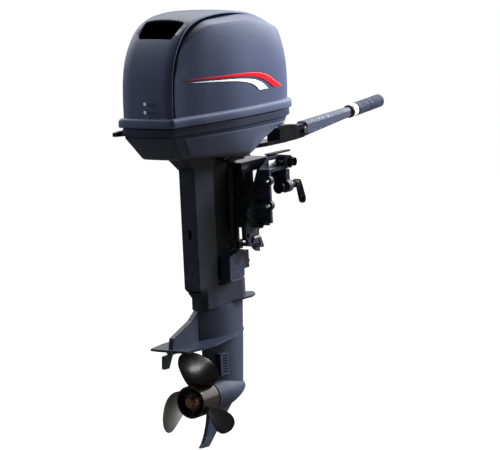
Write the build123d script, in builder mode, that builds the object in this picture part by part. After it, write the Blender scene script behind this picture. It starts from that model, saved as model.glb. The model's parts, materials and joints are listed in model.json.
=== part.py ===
from build123d import *
import math
import os

os.makedirs("parts", exist_ok=True)

# Frame: +X forward (bow), +Y port, +Z up, millimetres.
# Origin: centre between the two clamp brackets, on their bearing face, at the height of the transom seat.
# The sub-parts are drawn from a level above the seat, and save() lifts each one so that the seat is at Z = 0.

# ---- driving dimensions ----
seat_z = -19
prop_z = -574
shaft_x = -125
steer_x = -52
tilt_x = 98
tilt_z = -3
running_gap = 0.05
body_gap = 0.4

tilt_tube_radius = 11
tilt_tube_bore = 8
tilt_tube_half = 110
steer_shaft_radius = 16
swivel_radius = 22
web_inner = 58
web_outer = 66
flange_outer = 97
bolt_y = 92
pad_face_x = 50
screw_y = 86
screw_z = -66
screw_radius = 8
trim_x = -22
trim_z = -205
trim_radius = 6
spacer_z = -155

seam_z = 141
band_top_z = 163
tray_floor_z = 52
cowl_wall = 3
spine_half = 73

leg_rear_x = -241
foot_rear_x = -226
casing_seam_z = -345
plate_top_z = -423
plate_thickness = 6

driveshaft_radius = 8
prop_shaft_radius = 10
pinion_teeth = 13
gear_teeth = 24
gear_pitch_radius = 26
prop_radius = 122
prop_pitch = 286
hub_radius = 42
hub_rear_x = -276
hub_front_x = -205

tiller_pivot_x = 240
tiller_y = -35
tiller_pivot_z = 60
tiller_rise = 4
grip_radius = 18


# ---- helpers ----
def block(x_low, x_high, y_low, y_high, z_low, z_high, mode=Mode.ADD):
    """Add a straight-sided block given by its three ranges."""
    centre = ((x_low + x_high) / 2, (y_low + y_high) / 2, (z_low + z_high) / 2)
    with Locations(centre):
        Box(x_high - x_low, y_high - y_low, z_high - z_low, mode=mode)


def rod(start, end, radius, mode=Mode.ADD):
    """Add a round bar from one point to another."""
    axis = Vector(*end) - Vector(*start)
    with BuildSketch(Plane(origin=start, z_dir=axis)) as disc:
        Circle(radius)
    extrude(disc.sketch, amount=axis.length, mode=mode)


def cone(start, end, start_radius, end_radius, mode=Mode.ADD):
    """Add a round bar that changes radius from one point to another."""
    axis = Vector(*end) - Vector(*start)
    with BuildSketch(Plane(origin=start, z_dir=axis)) as first:
        Circle(start_radius)
    with BuildSketch(Plane(origin=end, z_dir=axis)) as second:
        Circle(end_radius)
    loft([first.sketch.face(), second.sketch.face()], mode=mode)


def hexagon(start, end, across_flats, mode=Mode.ADD):
    """Add a hexagonal bar from one point to another."""
    axis = Vector(*end) - Vector(*start)
    with BuildSketch(Plane(origin=start, z_dir=axis)) as outline:
        RegularPolygon(across_flats / 2, 6, major_radius=False)
    extrude(outline.sketch, amount=axis.length, mode=mode)


def side_plate(points, y_low, y_high, corner=0, mode=Mode.ADD):
    """Add a flat shape drawn in X and Z between two Y values."""
    with BuildSketch(Plane.XZ.offset(-y_high)) as outline:
        Polygon(*points, align=None)
        if corner > 0:
            fillet(outline.vertices(), corner)
    extrude(outline.sketch, amount=y_high - y_low, mode=mode)


def level_plate(points, z_low, z_high, corner=0, mode=Mode.ADD):
    """Add a flat shape drawn in X and Y between two Z values."""
    with BuildSketch(Plane.XY.offset(z_low)) as outline:
        Polygon(*points, align=None)
        if corner > 0:
            fillet(outline.vertices(), corner)
    extrude(outline.sketch, amount=z_high - z_low, mode=mode)


def both_sides(points):
    """Complete a half outline in X and Y with its mirror image."""
    return points + [(x, -y) for x, y in reversed(points) if y != 0]


def save(builder, label):
    """Lift a sub-part to the frame, label it and write it."""
    lifted = builder.part.moved(Location((0, 0, -seat_z)))
    lifted.label = label
    export_step(lifted, "parts/" + label + ".step")


# ---- cowl shape ----
# height, rear x, front x, rear half width, widest half width
cowl_levels = [
    (141, -403, 111, 74, 117),
    (163, -403, 111, 74, 118),
    (215, -401, 110, 74, 121),
    (262, -396, 106, 74, 121),
    (300, -385, 101, 74, 119),
    (328, -366, 93, 73, 115),
    (352, -340, 74, 71, 108),
    (372, -308, 30, 68, 99),
    (386, -270, -30, 64, 88),
]
rim_width = 6


def cowl_outline(level, inset):
    """Sketch one horizontal section of the cowl, drawn in by inset."""
    z, rear, front, rear_half, widest = level
    rear = rear + inset
    front = front - inset
    rear_half = rear_half - inset
    widest = widest - inset
    span = front - rear
    shape = [
        (rear + 0.08 * span, rear_half + 0.16 * (widest - rear_half)),
        (rear + 0.24 * span, rear_half + 0.55 * (widest - rear_half)),
        (rear + 0.45 * span, rear_half + 0.90 * (widest - rear_half)),
        (rear + 0.68 * span, widest),
        (rear + 0.87 * span, widest * 0.975),
        (rear + 0.955 * span, widest * 0.85),
        (rear + 0.99 * span, widest * 0.52),
    ]
    with BuildSketch(Plane.XY.offset(z)) as outline:
        with BuildLine():
            starboard = [(x, -y) for x, y in shape]
            port = [(x, y) for x, y in reversed(shape)]
            Spline([(rear, -rear_half)] + starboard + [(front, 0)] + port + [(rear, rear_half)])
            ThreePointArc((rear, rear_half), (rear - 3, 0), (rear, -rear_half))
        make_face()
    return outline.sketch.face()


def cowl_loft(inset, levels, mode=Mode.ADD):
    """Add the cowl's side and shoulder surface as a loft of its sections."""
    loft([cowl_outline(level, inset) for level in levels], mode=mode)


def spine_points(inset):
    """Side view of the raised centre band: rear, rounded top and falling front."""
    outer = [
        (-404, 166), (-403, 205), (-399, 250), (-390, 281), (-370, 323), (-350, 350),
        (-325, 374), (-298, 391), (-262, 402), (-220, 408), (-160, 411), (-90, 407),
        (-20, 394), (40, 372), (76, 346), (96, 315), (104, 284),
    ]
    return [(x + inset * 0.7, z - inset * 0.7) for x, z in outer]


def spine_body(inset, half, mode=Mode.ADD):
    """Add the raised centre band as a side view carried across the width."""
    with BuildSketch(Plane.XZ.offset(-half)) as outline:
        with BuildLine():
            curve = Spline(spine_points(inset))
            Polyline((curve @ 1), (60, 284), (-300, 284), (-330, 166), (curve @ 0))
        make_face()
    extrude(outline.sketch, amount=2 * half, mode=mode)


with BuildPart() as top_cowl:
    cowl_loft(0, cowl_levels)
    cowl_loft(-rim_width, [(seam_z, *cowl_levels[0][1:]), (band_top_z, *cowl_levels[0][1:])])
    spine_body(0, spine_half)
    cowl_loft(cowl_wall, cowl_levels[:-1] + [(383, -270, -30, 64, 88)], mode=Mode.SUBTRACT)
    spine_body(cowl_wall * 1.6, spine_half - cowl_wall, mode=Mode.SUBTRACT)
    # air intake: a trapezoid recess at the rear of the top, open to the engine space
    with BuildSketch(Plane.XY.offset(340)) as intake:
        Polygon((-362, 50), (-362, -50), (-302, -60), (-302, 60), align=None)
        fillet(intake.vertices(), 8)
    extrude(amount=90, mode=Mode.SUBTRACT)
    # holes for the two rear screws
    for screw_height in (182, 203):
        rod((-420, 0, screw_height), (-390, 0, screw_height), 2.2, mode=Mode.SUBTRACT)
save(top_cowl, "top_cowl")

with BuildPart() as cowl_screws:
    for screw_height in (182, 203):
        rod((-403, 0, screw_height), (-388, 0, screw_height), 2.1)
        rod((-411, 0, screw_height), (-407.2, 0, screw_height), 4)
        rod((-407.2, 0, screw_height), (-403, 0, screw_height), 2.1)
save(cowl_screws, "cowl_screws")

with BuildPart() as intake_louvre:
    for louvre_x in (-348, -334, -320):
        side_plate([(louvre_x, 335), (louvre_x + 3, 335), (louvre_x + 13, 358), (louvre_x + 10, 358)], -46, 46)
    for louvre_y in (-49, 46):
        side_plate([(-352, 332), (-312, 332), (-304, 362), (-330, 362)], louvre_y, louvre_y + 3)
save(intake_louvre, "intake_louvre")


# ---- bottom cowl ----
tray_levels = [
    (52, -335, 92, 62, 88),
    (80, -368, 104, 66, 103),
    (112, -403, 114, 73, 116),
    (138.5, -404, 116, 74, 118),
]
tray_pockets = [
    (57, -333, 90, 60, 86),
    (80, -366, 102, 64, 101),
    (112, -400, 112, 71, 114),
    (145, -400, 113, 71, 115),
]
leg_hole = both_sides([(-304, 56), (-66, 58)])

with BuildPart() as bottom_cowl:
    loft([cowl_outline(level, 0) for level in tray_levels], ruled=True)
    loft([cowl_outline(level, 1.5) for level in tray_pockets], ruled=True, mode=Mode.SUBTRACT)
    level_plate(leg_hole, 40, 70, mode=Mode.SUBTRACT)
    # opening for the latch shaft at the rear port corner
    rod((-380, 55, 124), (-380, 95, 124), 5.06, mode=Mode.SUBTRACT)
    # holes in the front panel: starter rope, choke, stop button, fuel connector
    rod((80, 0, 112), (130, 0, 112), 9, mode=Mode.SUBTRACT)
    rod((70, 62, 106), (130, 62, 106), 4.05, mode=Mode.SUBTRACT)
    rod((70, -64, 106), (130, -64, 106), 7.06, mode=Mode.SUBTRACT)
    # hole for the shift lever shaft in the port side
    rod((-30, 80, 84), (-30, 130, 84), 6.06, mode=Mode.SUBTRACT)
    # four mounting bosses on the floor
    for boss_x in (-250, -120):
        for boss_y in (-66, 66):
            rod((boss_x, boss_y, 55), (boss_x, boss_y, 68), 8)
save(bottom_cowl, "bottom_cowl")

with BuildPart() as cowl_latch:
    rod((-380, 50, 124), (-380, 98, 124), 5)
    side_plate([(-385, 124), (-375, 124), (-370, 136), (-376, 139), (-386, 134)], 50, 58)
    side_plate([(-372, 117), (-372, 131), (-390, 132), (-416, 130), (-416, 120), (-390, 118)], 88, 98, 2)
save(cowl_latch, "cowl_latch")


# ---- clamp brackets ----
web_outline = [
    (88, 14), (34, 14), (16, 2), (-4, -10), (-22, -40), (-36, -64), (-47, -82), (-54, -98), (-68, -108),
    (-73, -120), (-65, -131), (-32, -154), (0, -157), (0, seat_z), (50, seat_z), (55, -34), (68, -50),
    (77, -66), (80, -82), (98, -82), (102, -40), (114, -10), (112, 6),
]
lower_outline = [
    (-54, -128), (-70, -150), (-72, -176), (-58, -198), (-48, -201), (-38, -206), (-30, -215), (-18, -222),
    (-8, -224), (-8, -170), (0, -157), (0, -140),
]


def trim_hole(index):
    """Place one trim hole on its arc round the tilt tube."""
    angle = math.atan2(tilt_x - trim_x, tilt_z - trim_z) + math.radians(6 * index)
    reach = math.hypot(tilt_x - trim_x, tilt_z - trim_z)
    return (tilt_x - reach * math.sin(angle), tilt_z - reach * math.cos(angle))


def clamp_bracket(side, label):
    """Build one clamp bracket; side is -1 for starboard and 1 for port."""

    def span(near, far):
        return (min(side * near, side * far), max(side * near, side * far))

    with BuildPart() as bracket:
        side_plate(web_outline, *span(web_inner, web_outer))
        side_plate(lower_outline, *span(50, web_inner + 0.5))
        # outboard flange: bearing strip, seat and clamp arm
        outboard = span(web_outer - 0.5, flange_outer)
        block(-9, 0, *outboard, -150, seat_z + 8)
        block(-9, 82, *outboard, seat_z, seat_z + 8)
        block(80, 97, *span(web_outer - 0.5, 83), screw_z, seat_z + 8)
        block(80, 97, *span(web_outer - 0.5, flange_outer - 4), screw_z, seat_z - 3)
        rod((80, side * screw_y, screw_z), (100, side * screw_y, screw_z), 17)
        # bosses of the through-bolts, the lower one on a thick rib across the web
        for bolt_z in (-40, -104):
            rod((-11, side * bolt_y, bolt_z), (0, side * bolt_y, bolt_z), 13)
        block(-20, -8, *span(web_outer - 0.5, bolt_y), -112, -94)
        block(-40, -8, *span(web_outer - 0.5, 74), -108, -96)
        # rib under the seat
        side_plate([(-30, -56), (-9, -56), (-9, -50), (-26, -50)], *span(web_outer - 0.5, 76))
        # foot of the bearing strip, sloping in to the web
        side_plate([(-24, -156), (0, -156), (0, -138), (-14, -138)], *span(web_outer - 0.5, 88))
        # boss round the tilt tube
        rod((tilt_x, side * 56, tilt_z), (tilt_x, side * 84, tilt_z), 17)
        rod((tilt_x, side * 40, tilt_z), (tilt_x, side * 110, tilt_z), tilt_tube_radius, mode=Mode.SUBTRACT)
        # threaded hole of the clamp screw
        rod((70, side * screw_y, screw_z), (120, side * screw_y, screw_z), screw_radius + running_gap,
            mode=Mode.SUBTRACT)
        # through-bolt holes
        for bolt_z in (-40, -104):
            rod((-30, side * bolt_y, bolt_z), (10, side * bolt_y, bolt_z), 4.5, mode=Mode.SUBTRACT)
        # two holes of the ear
        for ear_x, ear_z in ((-63, -119), (-53, -129)):
            rod((ear_x, side * 45, ear_z), (ear_x, side * 75, ear_z), 3.5, mode=Mode.SUBTRACT)
        # trim holes on their arc
        for hole_index in range(3):
            hole_x, hole_z = trim_hole(hole_index)
            rod((hole_x, side * 45, hole_z), (hole_x, side * 70, hole_z), trim_radius + running_gap,
                mode=Mode.SUBTRACT)
        # hole of the lower spacer bolt
        rod((-18, side * 45, spacer_z), (-18, side * 95, spacer_z), 5, mode=Mode.SUBTRACT)
        rod((-18, side * web_outer, spacer_z), (-18, side * 95, spacer_z), 9, mode=Mode.SUBTRACT)
    save(bracket, label)


clamp_bracket(-1, "clamp_bracket_starboard")
clamp_bracket(1, "clamp_bracket_port")

with BuildPart() as tilt_tube:
    rod((tilt_x, -tilt_tube_half, tilt_z), (tilt_x, tilt_tube_half, tilt_z), tilt_tube_radius)
    rod((tilt_x, -tilt_tube_half - 1, tilt_z), (tilt_x, tilt_tube_half + 1, tilt_z), tilt_tube_bore,
        mode=Mode.SUBTRACT)
save(tilt_tube, "tilt_tube")

with BuildPart() as tilt_tube_nuts:
    for side in (-1, 1):
        rod((tilt_x, side * 84, tilt_z), (tilt_x, side * 86, tilt_z), 16)
        hexagon((tilt_x, side * 86, tilt_z), (tilt_x, side * 97, tilt_z), 29)
        rod((tilt_x, side * 83, tilt_z), (tilt_x, side * 98, tilt_z), tilt_tube_radius, mode=Mode.SUBTRACT)
save(tilt_tube_nuts, "tilt_tube_nuts")

with BuildPart() as bracket_spacer:
    rod((-18, -77, spacer_z), (-18, 77, spacer_z), 5)
    rod((-18, -50, spacer_z), (-18, 50, spacer_z), 8)
    for side in (-1, 1):
        hexagon((-18, side * 66, spacer_z), (-18, side * 75, spacer_z), 13)
save(bracket_spacer, "bracket_spacer")


# ---- clamp screws and pads ----
def clamp_pad(side, label):
    """Build the swivelling pad on the end of one clamp screw."""
    with BuildPart() as pad:
        cone((pad_face_x, side * screw_y, screw_z), (pad_face_x + 7, side * screw_y, screw_z), 16, 13)
        rod((pad_face_x + 7, side * screw_y, screw_z), (pad_face_x + 15, side * screw_y, screw_z), 11)
        rod((pad_face_x + 4, side * screw_y, screw_z), (pad_face_x + 16, side * screw_y, screw_z), 6.06,
            mode=Mode.SUBTRACT)
    save(pad, label)


crank_outline = [
    (126, -74), (126, -60), (136, -54), (152, -57), (160, -70), (175, -108), (173, -118), (164, -122),
    (156, -116), (144, -76),
]


def clamp_screw(side, label):
    """Build one clamp screw with its flat crank handle."""
    with BuildPart() as screw:
        rod((pad_face_x + 4.4, side * screw_y, screw_z), (pad_face_x + 15.4, side * screw_y, screw_z), 6)
        rod((pad_face_x + 15.4, side * screw_y, screw_z), (136, side * screw_y, screw_z), screw_radius)
        rod((127, side * screw_y, screw_z), (140, side * screw_y, screw_z), 10)
        side_plate(crank_outline, side * screw_y - 5, side * screw_y + 5, 3)
        rod((165, side * screw_y - 8, -111), (165, side * screw_y + 8, -111), 5)
    save(screw, label)


clamp_pad(-1, "clamp_pad_starboard")
clamp_pad(1, "clamp_pad_port")
clamp_screw(-1, "clamp_screw_starboard")
clamp_screw(1, "clamp_screw_port")

with BuildPart() as trim_rod:
    rod((trim_x, -74, trim_z), (trim_x, 68, trim_z), trim_radius)
    with Locations((trim_x, 68, trim_z)):
        Sphere(trim_radius)
    # bent pull handle outside the starboard bracket
    with Locations((trim_x, -74, trim_z)):
        Sphere(trim_radius)
    rod((trim_x, -74, trim_z), (trim_x - 12, -74, trim_z + 24), 5)
    with Locations((trim_x - 12, -74, trim_z + 24)):
        Sphere(5)
    rod((trim_x - 12, -74, trim_z + 24), (trim_x - 40, -74, trim_z + 24), 5)
save(trim_rod, "trim_rod")


# ---- swivel bracket ----
cheek_outline = [
    (-58, 12), (-58, -120), (-56, -190), (-36, -190), (-33, -150), (-30, -138), (-8, -118), (-5, -60),
    (-5, -15), (80, -15), (98, -20), (112, -12), (115, -3), (110, 10), (98, 14), (60, 12),
]
with BuildPart() as swivel_bracket:
    rod((steer_x, 0, -192), (steer_x, 0, 20), swivel_radius)
    for side in (-1, 1):
        side_plate(cheek_outline, min(side * 36, side * 46), max(side * 36, side * 46))
        rod((tilt_x, side * 34, tilt_z), (tilt_x, side * 55.6, tilt_z), 17)
    # cross wall joining the cheeks to the steering tube, and the top plate
    block(-46, -38, -40, 40, -158, 4)
    block(-58, 76, -40, 40, 2, 12)
    block(-40, -30, -24, 24, -158, -20)
    # thrust pad in front of the lower end, resting against the trim rod
    block(-46, trim_x - trim_radius - body_gap, -20, 20, -214, -190)
    # boss for the reverse lock hook
    block(-58, -40, 10, 24, -186, -160)
    rod((-46, 20, -172), (-46, 34, -172), 4)
    # pivot of the friction lever
    rod((80, -42, 0), (80, -42, 18.6), 3)
    rod((tilt_x, -60, tilt_z), (tilt_x, 60, tilt_z), tilt_tube_radius + running_gap, mode=Mode.SUBTRACT)
    rod((steer_x, 0, -216), (steer_x, 0, 30), steer_shaft_radius + running_gap, mode=Mode.SUBTRACT)
save(swivel_bracket, "swivel_bracket")

with BuildPart() as reverse_lock_hook:
    hook_outline = [(-56, -164), (-38, -162), (-12, -184), (-9, -214), (-15, -214), (-15.4, -198.4),
                    (-30, -198.2), (-40, -184), (-56, -182)]
    side_plate(hook_outline, 24.4, 31)
    rod((-46, 20, -172), (-46, 34, -172), 4 + running_gap, mode=Mode.SUBTRACT)
save(reverse_lock_hook, "reverse_lock_hook")

with BuildPart() as friction_lever:
    lever_outline = [(70, -34), (70, -50), (112, -55), (166, -55), (176, -47), (166, -38), (112, -34)]
    level_plate(lever_outline, 14.4, 18, 4)
    rod((80, -42, 10), (80, -42, 20), 3 + running_gap, mode=Mode.SUBTRACT)
save(friction_lever, "friction_lever")


# ---- steering parts ----
with BuildPart() as steering_shaft:
    rod((steer_x, 0, -262), (steer_x, 0, 50), steer_shaft_radius)
    # lower yoke carrying the lower mounts
    block(-66, -34, -40, 40, -262, -216)
    for side in (-1, 1):
        rod((-80, side * 30, -245), (-20, side * 30, -245), 5, mode=Mode.SUBTRACT)
save(steering_shaft, "steering_shaft")

with BuildPart() as steering_bracket:
    rod((steer_x, 0, 20.4), (steer_x, 0, 50), 26)
    block(-76, -60, -58, 58, 24, 50)
    # arm running forward above the brackets
    level_plate([(-60, 30), (-60, -30), (-30, -33), (60, -52), (150, -56), (150, -14), (60, 10)], 40, 50.5)
    # raised front part with the tiller pivot
    side_plate([(118, 40), (118, 86), (176, 84), (206, 77), (238, 76), (252, 72), (257, 60), (252, 48),
                (238, 43), (200, 41)], -55, -15, 3)
    side_plate([(128, 47), (128, 78), (174, 77), (186, 66), (186, 50)], -48, -22, 3, mode=Mode.SUBTRACT)
    block(206, 262, -44, -26, 30, 95, mode=Mode.SUBTRACT)
    rod((tiller_pivot_x, -60, tiller_pivot_z), (tiller_pivot_x, -10, tiller_pivot_z), 6, mode=Mode.SUBTRACT)
    rod((steer_x, 0, 10), (steer_x, 0, 60), steer_shaft_radius, mode=Mode.SUBTRACT)
    for side in (-1, 1):
        rod((-90, side * 44, 37), (-50, side * 44, 37), 5, mode=Mode.SUBTRACT)
save(steering_bracket, "steering_bracket")

with BuildPart() as upper_mounts:
    for side in (-1, 1):
        rod((-118, side * 44, 37), (-80, side * 44, 37), 11)
        rod((-119, side * 44, 37), (-79, side * 44, 37), 5, mode=Mode.SUBTRACT)
save(upper_mounts, "upper_mounts")

with BuildPart() as lower_mounts:
    for side in (-1, 1):
        rod((-116, side * 30, -245), (-68, side * 30, -245), 10)
        rod((-117, side * 30, -245), (-67, side * 30, -245), 5, mode=Mode.SUBTRACT)
save(lower_mounts, "lower_mounts")

with BuildPart() as lower_mount_covers:
    for side in (-1, 1):
        low, high = min(side * 20.4, side * 47), max(side * 20.4, side * 47)
        side_plate([(-136, -281), (-134, -220), (-76, -208), (-66, -215), (-68, -276), (-80, -284)],
                   low, high, 5)
        rod((-116, side * 30, -245), (-60, side * 30, -245), 10, mode=Mode.SUBTRACT)
        rod((-124, side * 30, -245), (-110, side * 30, -245), 9, mode=Mode.SUBTRACT)
save(lower_mount_covers, "lower_mount_covers")

with BuildPart() as mount_bolts:
    for side in (-1, 1):
        rod((-122, side * 44, 37), (-56, side * 44, 37), 5)
        hexagon((-126, side * 44, 37), (-118, side * 44, 37), 16)
        hexagon((-60, side * 44, 37), (-52, side * 44, 37), 16)
        rod((-122, side * 30, -245), (-24, side * 30, -245), 5)
        hexagon((-122, side * 30, -245), (-116, side * 30, -245), 14)
        hexagon((-34, side * 30, -245), (-26, side * 30, -245), 14)
save(mount_bolts, "mount_bolts")


# ---- leg ----
leg_outline = both_sides([(leg_rear_x, 24), (-162, 27), (-156, 20), (-88, 20), (-79, 12)])
leg_inside = both_sides([(leg_rear_x + 4, 20.5), (-165, 23), (-154, 16), (-90, 16), (-83, 9)])
foot_outline = both_sides([(foot_rear_x, 14), (-208, 24), (-165, 27), (-50, 27), (-24, 18), (-16, 6)])
foot_inside = both_sides([(foot_rear_x + 4, 11), (-206, 20), (-165, 23), (-52, 23), (-28, 15), (-22, 5)])
splash_outline = both_sides([(-110, 26), (-60, 36), (-20, 37), (10, 26), (28, 10), (31, 3)])

with BuildPart() as upper_casing:
    level_plate(leg_outline, -288, 30)
    level_plate(both_sides([(-208, 25), (-162, 27), (-156, 20), (-88, 20), (-79, 12)]), -292, -287)
    level_plate(foot_outline, casing_seam_z, -291)
    # the rear edge draws in towards the gearcase
    with BuildSketch(Plane.XY.offset(-288)) as leg_end:
        Polygon(*both_sides([(leg_rear_x, 24), (-208, 26), (-165, 27)]), align=None)
    with BuildSketch(Plane.XY.offset(-314)) as foot_start:
        Polygon(*both_sides([(foot_rear_x, 14), (-208, 24), (-165, 27)]), align=None)
    loft([leg_end.sketch.face(), foot_start.sketch.face()], ruled=True)
    # flared top under the bottom cowl
    with BuildSketch(Plane.XY.offset(14)) as neck:
        Polygon(*both_sides([(leg_rear_x, 24), (-162, 27), (-90, 22)]), align=None)
    with BuildSketch(Plane.XY.offset(50)) as head:
        Polygon(*both_sides([(-284, 29), (-162, 32), (-90, 29)]), align=None)
    loft([neck.sketch.face(), head.sketch.face()], ruled=True)
    block(-298, -84, -52, 52, 50, 62)
    # pockets for the upper mounts
    for side in (-1, 1):
        block(-128, -82, min(side * 32, side * 57), max(side * 32, side * 57), 24, 50)
    level_plate(splash_outline, -343, -338)
    # hollow inside
    level_plate(leg_inside, -290, 63, mode=Mode.SUBTRACT)
    level_plate(foot_inside, casing_seam_z - 1, -295, mode=Mode.SUBTRACT)
    level_plate(both_sides([(-222, 11), (-205, 19), (-170, 23), (-156, 16)]), -300, -280, mode=Mode.SUBTRACT)
    level_plate(leg_inside, -300, -280, mode=Mode.SUBTRACT)
    for side in (-1, 1):
        rod((-130, side * 44, 37), (-70, side * 44, 37), 11, mode=Mode.SUBTRACT)
        rod((-130, side * 44, 37), (-100, side * 44, 37), 11, mode=Mode.SUBTRACT)
    # idle exhaust slot in the rear face
    block(-250, -230, -5, 5, -156, -141, mode=Mode.SUBTRACT)
    for slot_z in (-156, -141):
        rod((-250, 0, slot_z), (-230, 0, slot_z), 5, mode=Mode.SUBTRACT)
save(upper_casing, "upper_casing")

with BuildPart() as exhaust_tube:
    rod((-200, 0, -330), (-200, 0, 61), 17)
    rod((-200, 0, -331), (-200, 0, 62), 15, mode=Mode.SUBTRACT)
save(exhaust_tube, "exhaust_tube")


# ---- gearcase ----
def strut_outline(z, front, rear, half):
    """Sketch one foil-shaped section of the gearcase strut."""
    with BuildSketch(Plane.XY.offset(z)) as outline:
        with BuildLine():
            span = front - rear
            side_points = [(front - 0.06 * span, 0.40 * half), (front - 0.22 * span, 0.78 * half),
                           (front - 0.48 * span, half), (front - 0.78 * span, 0.74 * half)]
            starboard = [(x, -y) for x, y in side_points]
            tail = 0.30 * half
            Spline([(rear, tail)] + list(reversed(side_points)) + [(front, 0)] + starboard + [(rear, -tail)])
            Line((rear, -tail), (rear, tail))
        make_face()
    return outline.sketch.face()


nose_points = [(-198, 41), (-165, 41), (-120, 38), (-80, 29.5), (-45, 17), (-29, 6), (-26, 0)]
plate_outline = both_sides([(-364, 30), (-360, 56), (-300, 65), (-250, 67), (-129, 48), (-56, 24), (-24, 8)])
skeg_outline = [(-198, -590), (-199, -616), (-205, -642), (-216, -668), (-231, -690), (-244, -700),
                (-208, -702), (-190, -688), (-150, -655), (-75, -598), (-90, -590)]

with BuildPart() as gearcase:
    loft([strut_outline(prop_z, -34, -198, 26), strut_outline(-500, -27, -199, 26),
          strut_outline(-424, -21, -205, 27)])
    loft([strut_outline(-428, -21, -232, 27), strut_outline(casing_seam_z - 0.2, -16, -230, 28)])
    # torpedo
    with BuildSketch(Plane.XZ) as torpedo:
        with BuildLine():
            nose = Spline([(x, prop_z + r) for x, r in nose_points])
            Polyline(nose @ 1, (-198, prop_z), nose @ 0)
        make_face()
    revolve(torpedo.sketch, axis=Axis((0, 0, prop_z), (1, 0, 0)))
    # anti-ventilation plate and the wedge above its rear end
    level_plate(plate_outline, plate_top_z - plate_thickness, plate_top_z)
    side_plate([(-352, plate_top_z - 1), (-346, -396), (-262, -366), (-232, casing_seam_z - 1),
                (-214, casing_seam_z - 1), (-214, plate_top_z - 1)], -7, 7, 2)
    # skeg
    side_plate(skeg_outline, -5, 5)
    # raised seats of the water inlet covers
    for side in (-1, 1):
        block(-172, -132, min(side * 15, side * 26.5), max(side * 15, side * 26.5), -524, -466)
    # bores: driveshaft, shift rod, gears, exhaust and water passages
    rod((shaft_x, 0, -552), (shaft_x, 0, casing_seam_z + 1), driveshaft_radius + 3, mode=Mode.SUBTRACT)
    rod((shaft_x, 0, -560), (shaft_x, 0, -540), 18, mode=Mode.SUBTRACT)
    rod((-88, 0, prop_z), (-88, 0, casing_seam_z + 1), 5, mode=Mode.SUBTRACT)
    rod((-206, 0, prop_z), (-98, 0, prop_z), 31, mode=Mode.SUBTRACT)
    rod((-98, 0, prop_z), (-70, 0, prop_z), prop_shaft_radius + running_gap, mode=Mode.SUBTRACT)
    block(-218, -178, -10, 10, -412, casing_seam_z + 1, mode=Mode.SUBTRACT)
    block(-192, -178, -8, 8, -560, -400, mode=Mode.SUBTRACT)
    for side in (-1, 1):
        block(-166, -138, min(side * 12, side * 28), max(side * 12, side * 28), -518, -472, mode=Mode.SUBTRACT)
    block(-168, -142, -18, 18, -480, casing_seam_z + 1, mode=Mode.SUBTRACT)
save(gearcase, "gearcase")

with BuildPart() as trim_tab:
    rod((-345, 0, -434), (-345, 0, -429), 15)
    side_plate([(-387, -434), (-390, -464), (-386, -468), (-367, -468), (-349, -438), (-332, -434)], -4, 4)
save(trim_tab, "trim_tab")

with BuildPart() as water_inlet_covers:
    for side in (-1, 1):
        low, high = min(side * 26.5, side * 28.5), max(side * 26.5, side * 28.5)
        side_plate([(-171, -523), (-171, -467), (-133, -467), (-133, -523)], low, high, 3)
        for slot_index in range(7):
            slot_z = -516 + 7 * slot_index
            block(-164, -140, low - 1, high + 1, slot_z - 1.6, slot_z + 1.6, mode=Mode.SUBTRACT)
save(water_inlet_covers, "water_inlet_covers")

with BuildPart() as bearing_carrier:
    rod((-204, 0, prop_z), (-172, 0, prop_z), 31)
    rod((-205, 0, prop_z), (-171, 0, prop_z), prop_shaft_radius + running_gap, mode=Mode.SUBTRACT)
    # exhaust windows through the carrier
    for window_angle in (45, 135, 225, 315):
        window_y = 22 * math.sin(math.radians(window_angle))
        window_z = prop_z + 22 * math.cos(math.radians(window_angle))
        rod((-206, window_y, window_z), (-186, window_y, window_z), 6, mode=Mode.SUBTRACT)
save(bearing_carrier, "bearing_carrier")

with BuildPart() as water_pump_housing:
    rod((shaft_x, 0, casing_seam_z), (shaft_x, 0, -312), 20)
    rod((shaft_x, 0, casing_seam_z - 1), (shaft_x, 0, -318), 16.5, mode=Mode.SUBTRACT)
    rod((shaft_x, 0, -320), (shaft_x, 0, -310), driveshaft_radius + running_gap, mode=Mode.SUBTRACT)
save(water_pump_housing, "water_pump_housing")

with BuildPart() as water_pump_impeller:
    rod((shaft_x, 0, -341), (shaft_x, 0, -322), 11)
    for blade_index in range(6):
        blade_angle = math.radians(60 * blade_index)
        tip = (shaft_x + 14.5 * math.cos(blade_angle), 14.5 * math.sin(blade_angle))
        rod((tip[0], tip[1], -341), (tip[0], tip[1], -322), 1.6)
        root = (shaft_x + 10 * math.cos(blade_angle), 10 * math.sin(blade_angle))
        wide = (1.1 * math.sin(blade_angle), -1.1 * math.cos(blade_angle))
        level_plate([(root[0] + wide[0], root[1] + wide[1]), (tip[0] + wide[0], tip[1] + wide[1]),
                     (tip[0] - wide[0], tip[1] - wide[1]), (root[0] - wide[0], root[1] - wide[1])], -341, -322)
    rod((shaft_x, 0, -342), (shaft_x, 0, -321), driveshaft_radius, mode=Mode.SUBTRACT)
save(water_pump_impeller, "water_pump_impeller")


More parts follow.
